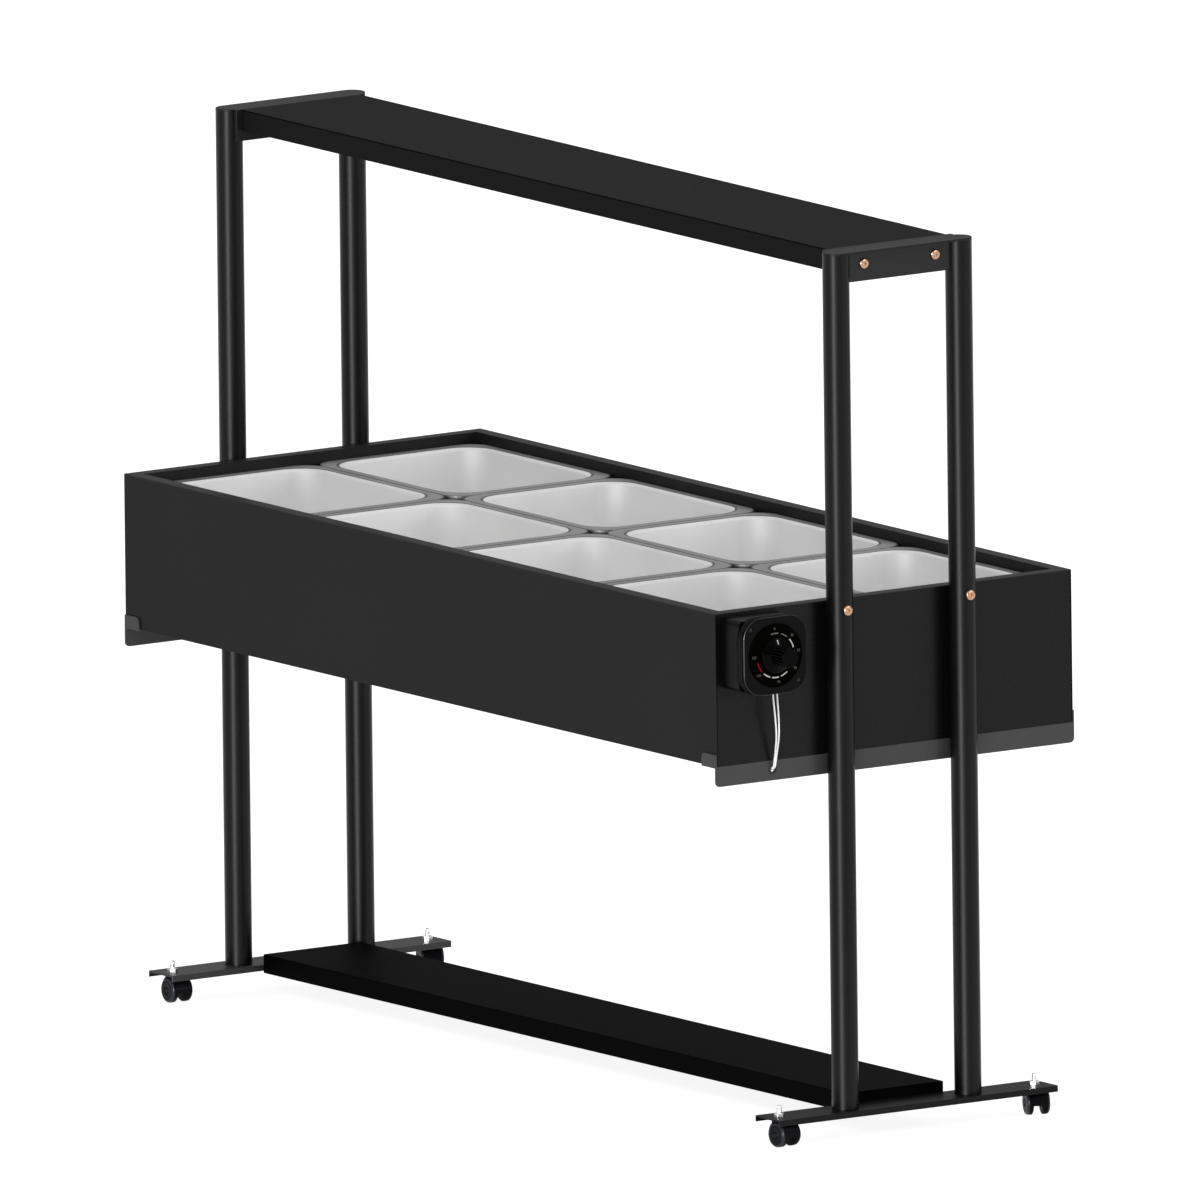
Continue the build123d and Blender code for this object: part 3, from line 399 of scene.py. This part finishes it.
def addFigure(bm, look, words, clockwise, radius):
    curve = bpy.data.curves.new("figure", "FONT")
    curve.body = words
    curve.size = look["figureSize"]
    curve.align_x = "CENTER"
    curve.align_y = "CENTER"
    curve.extrude = look["thickness"] / 2
    curve.resolution_u = look["figureRounds"]
    figure = bpy.data.objects.new("figure", curve)
    mesh = bpy.data.meshes.new_from_object(figure)
    place = dialPoint(dialHigh.x + look["thickness"] / 2, radius, clockwise)
    facing = Matrix(((0, 0, 1), (1, 0, 0), (0, 1, 0))).to_4x4()
    mesh.transform(Matrix.Translation(place) @ facing)
    bm.from_mesh(mesh)
    bpy.data.objects.remove(figure)
    bpy.data.curves.remove(curve)
    bpy.data.meshes.remove(mesh)


def makeDialPrint(look):
    bm = bmesh.new()
    for start, end, ink in look["arcs"]:
        addArc(bm, look, start, end, look["inks"][ink])
    newPiece("dialScale", bm, ["printWhite", "printDim", "printRed"], "frame", smooth=False)
    bm = bmesh.new()
    for words, clockwise, radius in look["figures"]:
        addFigure(bm, look, words, clockwise, radius)
    newPiece("dialFigures", bm, ["printFigure"], "frame", smooth=False)


makeDialPrint(dialPrint)
print("dial printed")


# knob: a white pointer on the cone, and painted highlights: a light ring round the barrel's end and a light
# line along each rib

knobLook = {
    "pointerFrom": 0.0225, "pointerTo": 0.0165, "pointerWidth": 0.0016, "pointerProud": 0.0002,
    "skirt": 0.025, "skirtHeight": 0.003, "coneHeight": 0.005, "barrel": 0.0135,
    # the painted highlight ring, in metres behind the end face, and inside the barrel's radius
    "endHighlight": [(0.00011, 0.0024), (0.00001, 0.0021), (0.00001, 0.0015), (0.00011, 0.0012)],
    "ringSteps": 64,
    "ribs": 18, "ribTurn": 3.6, "ribHighlightWidth": 0.00032, "ribProud": 0.00004, "ribFrom": 0.0088,
    "ribShort": 0.0012,
}
knobLow, knobHigh = lowOf("control_knob"), highOf("control_knob")


def makePointer(look):
    coneWidth = look["skirt"] - look["barrel"]
    bottom = []
    for side, radii in ((-1, ("pointerFrom", "pointerTo")), (1, ("pointerTo", "pointerFrom"))):
        for radius in (look[key] for key in radii):
            height = look["skirtHeight"] + (look["skirt"] - radius) / coneWidth * look["coneHeight"]
            bottom.append((knobLow.x + height, dialMiddle.y + side * look["pointerWidth"] / 2,
                           dialMiddle.z + radius))
    slope = math.atan2(coneWidth, look["coneHeight"])
    bm = bmesh.new()
    raisedPatch(bm, bottom, Vector((math.sin(slope), 0, math.cos(slope))) * look["pointerProud"])
    newPiece("knobPointer", bm, ["pointerWhite"], "knob", smooth=False)


# a light ring near the barrel's end, a painted highlight
def makePaintedEndHighlight(look):
    bm = bmesh.new()
    points = [(knobHigh.x - back, dialMiddle.y, dialMiddle.z + look["barrel"] - inside)
              for back, inside in look["endHighlight"]]
    spinProfile(bm, points, (0, dialMiddle.y, dialMiddle.z), (1, 0, 0), math.tau, look["ringSteps"],
                use_merge=True)
    newPiece("knobEndRingHighlight", bm, ["paintedHighlightPlastic"], "knob")


# a light strip on each rib's crest, a painted highlight
def makePaintedRibHighlights(look):
    half = look["ribHighlightWidth"] / 2
    near, far = knobLow.x + look["ribFrom"], knobHigh.x - look["ribShort"]
    bm = bmesh.new()
    for rib in range(look["ribs"]):
        angle = math.tau * rib / look["ribs"] + math.radians(look["ribTurn"])
        across = Vector((0, math.cos(angle), -math.sin(angle)))
        outward = Vector((0, math.sin(angle), math.cos(angle)))
        foot = Vector((0, dialMiddle.y, dialMiddle.z)) + outward * (look["barrel"] + look["ribProud"])
        bm.faces.new([bm.verts.new(foot + across * side + Vector((x, 0, 0)))
                      for x, side in ((near, -half), (far, -half), (far, half), (near, half))])
    newPiece("knobRibHighlights", bm, ["paintedHighlightPlastic"], "knob", smooth=False)


makePointer(knobLook)
makePaintedEndHighlight(knobLook)
makePaintedRibHighlights(knobLook)
print("knob detailed")


# cover: the ribs round its side, with painted highlights on their crests, and a painted highlight line along
# its front edge

coverLook = {
    "width": 0.106, "height": 0.110, "corner": 0.030,
    "sleeve": [  # metres behind the front face, and proud of the side
        (0.0166, -0.0001), (0.0164, 0.0002), (0.0112, 0.0002), (0.0108, 0.0006), (0.0102, 0.0006),
        (0.0098, 0.0002), (0.0066, 0.0002), (0.0063, 0.0004), (0.0059, 0.0004), (0.0056, 0.0002),
        (0.0022, 0.0002), (0.0019, -0.0001)],
    # ink 1 paints a highlight on each rib's crest
    "sleeveHighlightInks": (0, 0, 0, 1, 0, 0, 0, 1, 0, 0, 0),
    "edgeRadius": 0.0015, "highlightProud": 0.00006,
    "highlightAngles": (22, 45, 68),     # degrees round the edge, from the front face to the side
}
coverHigh = highOf("thermostat_cover")


def coverLoop(bm, look, back, grow):
    outline = roundedOutline(look["width"] + 2 * grow, look["height"] + 2 * grow, look["corner"] + grow)
    return closedLoop(bm, [(coverHigh.x - back, dialMiddle.y + y, dialMiddle.z + z) for y, z in outline])


def makeCoverDetail(look):
    bm = bmesh.new()
    loops = [coverLoop(bm, look, back, proud) for back, proud in look["sleeve"]]
    bridgeLoops(bm, loops, look["sleeveHighlightInks"])
    newPiece("coverSleeve", bm, ["coverSide", "paintedHighlightPlastic"], "frame")
    # a light strip on the front edge's rounding, a painted highlight
    bm = bmesh.new()
    radius = look["edgeRadius"]
    reach = radius + look["highlightProud"]
    turns = [math.radians(angle) for angle in look["highlightAngles"]]
    loops = [coverLoop(bm, look, radius - reach * math.cos(turn), reach * math.sin(turn) - radius)
             for turn in turns]
    bridgeLoops(bm, loops)
    newPiece("coverEdgeHighlight", bm, ["paintedHighlightPlastic"], "frame")


makeCoverDetail(coverLook)
print("cover detailed")


# pans: the brushed rim of each, with a fine lip line outside and a pressed bead round the mouth, both in a
# dark steel that paints a dark reflection

panLook = {
    "length": (0.354, 0.319), "width": (0.2785, 0.2505), "radius": (0.032, 0.047),  # outer edge and mouth
    "rim": [  # share of the way from the outer edge to the mouth, height over the rim, ink up to the next
        # ink 1, the outer lip and the bead, is a painted dark reflection
        (-0.006, -0.0039, 1), (-0.006, -0.0004, 1), (0.0, 0.00008, 1), (0.01, 0.0001, 1), (0.07, 0.0001, 0),
        (0.10, 0.00016, 0), (0.80, 0.00016, 0), (0.84, 0.0003, 1), (0.90, 0.0003, 1), (0.96, 0.0001, 1),
        (1.0, -0.0001, 1)],
}


def makePanRim(panName, look):
    middle, top = middleOf(panName), highOf(panName).z
    bm = bmesh.new()
    loops = []
    for share, lift, ink in look["rim"]:
        size = [outer + (mouth - outer) * share
                for outer, mouth in (look["length"], look["width"], look["radius"])]
        loops.append(closedLoop(bm, [(middle.x + x, middle.y + y, top + lift)
                                     for x, y in roundedOutline(*size)]))
    bridgeLoops(bm, loops, [ink for share, lift, ink in look["rim"]])
    newPiece(panName + "_rimSkin", bm, ["rimSteel", "paintedDarkReflectionSteel"], panName)


for panName in panNames:
    makePanRim(panName, panLook)
print("pans detailed")


# casters: turned wheels with a grooved disc in each face and a painted highlight on the rounded shoulder,
# threads on the studs

casterLook = {
    "turns": {"front_left": 3, "front_right": -6, "rear_left": 18, "rear_right": 20},
    "steps": 64,
    "wheel": [  # radius and place along the axle, in millimetres, and the ink up to the next point
        # ink 1, the shoulder, is a painted highlight
        (2.0, 0.0, 0), (2.0, 7.5, 0), (16.9, 7.5, 0), (17.5, 8.1, 0), (17.5, 9.6, 0), (17.35, 9.7, 0),
        (17.35, 10.2, 0), (17.5, 10.3, 0), (17.5, 13.4, 1), (17.28, 14.55, 1), (16.62, 15.52, 1),
        (15.65, 16.2, 1), (14.5, 16.45, 1), (13.7, 16.45, 0), (13.5, 15.7, 0), (12.8, 15.7, 2),
        (12.6, 16.4, 2), (12.1, 16.5, 2), (8.0, 16.38, 2), (4.9, 16.2, 0), (4.7, 15.6, 0), (4.0, 15.6, 2),
        (3.8, 16.2, 2), (2.6, 16.5, 2), (0.0, 16.6, 2)],
    "studY": 0.21475,
    "threadRoot": 0.00327, "threadCrest": 0.00348, "pitch": 0.0010, "overNut": 0.0008, "underTop": 0.0034,
    "threadForm": ((0, "threadRoot"), (0.35, "threadCrest"), (0.45, "threadCrest"), (0.8, "threadRoot")),
    "stepsPerTurn": 24,
}
millimetre = 0.001


def nearestInk(face, profile):
    spot = face.calc_center_median()
    radius, along = math.hypot(spot.x, spot.z) / millimetre, abs(spot.y) / millimetre
    gaps = [(math.hypot((start[0] + end[0]) / 2 - radius, (start[1] + end[1]) / 2 - along), start[2])
            for start, end in zip(profile, profile[1:])]
    return min(gaps)[1]


def makeWheels(corner, look):
    bm = bmesh.new()
    for side in (-1, 1):
        points = [(radius * millimetre, side * along * millimetre, 0) for radius, along, ink in look["wheel"]]
        spinProfile(bm, points, (0, 0, 0), (0, 1, 0), math.tau, look["steps"], use_merge=True)
    for face in bm.faces:
        face.material_index = nearestInk(face, look["wheel"])
    turn = Matrix.Rotation(math.radians(-look["turns"][corner]), 4, "Z")
    bm.transform(Matrix.Translation(middleOf(corner + "_wheels")) @ turn)
    wheels = newPiece(corner + "Wheels", bm, ["treadPlastic", "shoulderPaintedHighlight", "discPlastic"],
                      corner + "_roller")
    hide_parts(corner + "_wheels")


def makeStudThreads(look):
    pitch = look["pitch"]
    low = highOf("caster_nuts").z + look["overNut"]
    high = highOf("caster_stems").z - look["underTop"]
    turns = int((high - low) / pitch)
    bm = bmesh.new()
    for barName in ("left_base_bar", "right_base_bar"):
        x = middleOf(barName).x
        for y in (-look["studY"], look["studY"]):
            points = [(x + look[radius], y, low + pitch * share) for share, radius in look["threadForm"]]
            spinProfile(bm, points, (x, y, 0), (0, 0, 1), math.tau * turns, look["stepsPerTurn"] * turns,
                        dvec=(0, 0, pitch / look["stepsPerTurn"]))
    newPiece("studThreads", bm, ["zincPlate"], "frame")


for corner in corners:
    makeWheels(corner, casterLook)
makeStudThreads(casterLook)
print("casters made")


# dark seams where the casing's front and rear sheets lap the end sheets

seamLook = {"width": 0.0009, "proud": 0.00006, "inset": 0.0020, "foot": 0.0005}


def makeSeams(look):
    frontLow, frontHigh, rearHigh = lowOf("front_panel"), highOf("front_panel"), highOf("rear_panel")
    half = look["width"] / 2
    low, high = frontLow.z + look["foot"], frontHigh.z
    bm = bmesh.new()
    for y in (frontLow.y + look["inset"], rearHigh.y - look["inset"]):
        for x, out in ((frontHigh.x, 1), (frontLow.x, -1)):
            points = [(x, y - half, low), (x, y + half, low), (x, y + half, high), (x, y - half, high)]
            raisedPatch(bm, points, (out * look["proud"], 0, 0))
    newPiece("casingSeams", bm, ["darkSeamAndPaintedFoldShade"], "frame", smooth=False)


makeSeams(seamLook)
print("seams drawn")


# top shelf: a dark strip along its long edges, painted shade of the rounded bend

foldShadeLook = {"height": 0.0020, "proud": 0.00006, "ends": 0.001}


def makeFoldShade(look):
    low, high = lowOf("top_shelf"), highOf("top_shelf")
    near, far = low.x + look["ends"], high.x - look["ends"]
    bend = high.z - look["height"]
    bm = bmesh.new()
    for y in (low.y - look["proud"], high.y + look["proud"]):
        bm.faces.new([bm.verts.new(point) for point in
                      ((near, y, bend), (far, y, bend), (far, y, high.z), (near, y, high.z))])
    newPiece("shelfFoldPaintedShade", bm, ["darkSeamAndPaintedFoldShade"], "frame", smooth=False)


makeFoldShade(foldShadeLook)
print("folds drawn")


# studio

studio = {
    "floorSize": 60.0, "floorColor": (0.32, 0.32, 0.32), "floorRoughness": 0.8, "floorSpecular": 0.1,
    "floorGlow": 0.90,
    "worldHorizon": 0.13, "worldTop": 1.0, "worldBend": 0.75,
    "aimHeight": 0.65, "sunDistance": 8.0,
    "suns": [
        # name, azimuth, elevation, angle, strength
        ("keySun", 33.0, 5.0, 16.0, 6.6),
        ("fillSun", 118.0, 8.0, 14.0, 0.6),
        ("panSun", 46.0, 30.0, 25.0, 0.5),
        ("panSunLeft", -38.0, 34.0, 25.0, 0.25),
        ("panSunRight", 132.0, 34.0, 25.0, 0.25),
    ],
    "glossOnly": ("keySun",),   # seen in the coats' shine alone, as it would burn out the pans
    "panels": [
        # name, azimuth, distance, height, width, tall, power
        ("topPanel", 60.0, 0.9, 3.6, 2.6, 1.8, 6.0),
    ],
}


def makeWorld(look):
    world = bpy.data.worlds.new("softWorld")
    world.use_nodes = True
    tree = world.node_tree
    backdrop = tree.nodes["Background"]
    backdrop.inputs["Color"].default_value = (1, 1, 1, 1)
    direction = addNode(tree, "ShaderNodeTexCoord").outputs["Generated"]
    height = addNode(tree, "ShaderNodeSeparateXYZ", {"Vector": direction}).outputs["Z"]
    bent = addNode(tree, "ShaderNodeMath", {0: height, 1: look["worldBend"]}, operation="POWER",
                   use_clamp=True)
    strength = addNode(tree, "ShaderNodeMapRange", {
        "Value": bent.outputs[0], "To Min": look["worldHorizon"], "To Max": look["worldTop"]})
    tree.links.new(strength.outputs[0], backdrop.inputs["Strength"])
    bpy.context.scene.world = world


def makeFloor(look):
    bm = bmesh.new()
    bmesh.ops.create_grid(bm, x_segments=1, y_segments=1, size=look["floorSize"] / 2)
    mesh = bpy.data.meshes.new("floor")
    bm.to_mesh(mesh)
    bm.free()
    floor = bpy.data.objects.new("floor", mesh)
    bpy.context.scene.collection.objects.link(floor)
    material, tree, shader = newMaterial("floorPaint", look["floorColor"], look["floorRoughness"], 0.0,
                                         look["floorSpecular"])
    shader.inputs["Emission Color"].default_value = (1, 1, 1, 1)
    shader.inputs["Emission Strength"].default_value = look["floorGlow"]
    mesh.materials.append(material)


def aimLamp(data, place, target):
    lamp = bpy.data.objects.new(data.name, data)
    bpy.context.scene.collection.objects.link(lamp)
    lamp.location = place
    lamp.rotation_mode = "QUATERNION"
    lamp.rotation_quaternion = (target - place).to_track_quat("-Z", "Y")
    return lamp


def makeLamps(look):
    target = Vector((0, 0, look["aimHeight"]))
    for name, azimuth, elevation, angle, strength in look["suns"]:
        data = bpy.data.lights.new(name, "SUN")
        data.energy = strength
        data.angle = math.radians(angle)
        lamp = aimLamp(data, target + look["sunDistance"] * outwards(azimuth, elevation), target)
        lamp.visible_diffuse = name not in look["glossOnly"]
    for name, azimuth, distance, height, width, tall, power in look["panels"]:
        data = bpy.data.lights.new(name, "AREA")
        data.shape = "RECTANGLE"
        data.size = width
        data.size_y = tall
        data.energy = power
        aimLamp(data, outwards(azimuth) * distance + Vector((0, 0, height)), target)


makeWorld(studio)
makeFloor(studio)
makeLamps(studio)
bpy.context.scene.view_settings.view_transform = "Standard"
print("studio lit")
